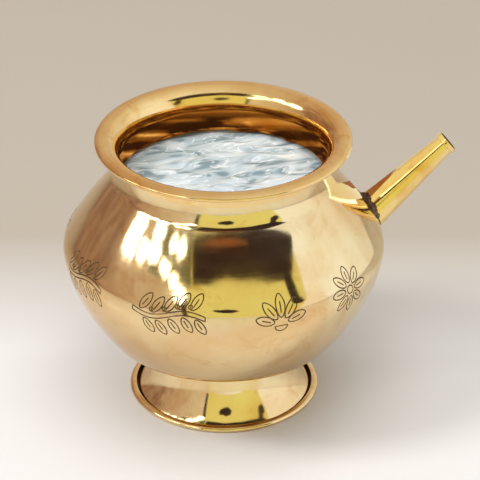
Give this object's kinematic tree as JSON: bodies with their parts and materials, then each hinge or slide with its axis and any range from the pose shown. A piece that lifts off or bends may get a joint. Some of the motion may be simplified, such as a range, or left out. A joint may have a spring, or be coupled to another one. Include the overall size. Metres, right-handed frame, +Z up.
{
  "type": "lota water pot",
  "caption": "Round-bellied brass lota with a flared mouth, a flared foot and a straight tapered pouring spout, for holding and pouring water.",
  "frame": {"origin": "centre of the foot's underside, on the plane the pot stands on", "axes": "+Z up along the pot's axis through the middle of the mouth; +X from the axis towards the spout's tip"},
  "size_m": [0.1459, 0.115, 0.1023],
  "materials": {
    "polished_brass": "mirror polished",
    "mouth_brass": "mirror polished",
    "foot_brass": "mirror polished",
    "spout_brass": "polished",
    "braze": "dull, tarnished"
  },
  "bodies": {
    "root": {"lower_bowl": "polished_brass", "upper_shell": "polished_brass", "mouth_flare": "mouth_brass", "foot_skirt": "foot_brass", "foot_rim": "foot_brass", "spout_tube": "spout_brass", "spout_tip_ring": "spout_brass", "belly_braze": "braze", "neck_braze": "braze", "foot_braze": "braze", "spout_braze": "braze"}
  },
  "joints": []
}
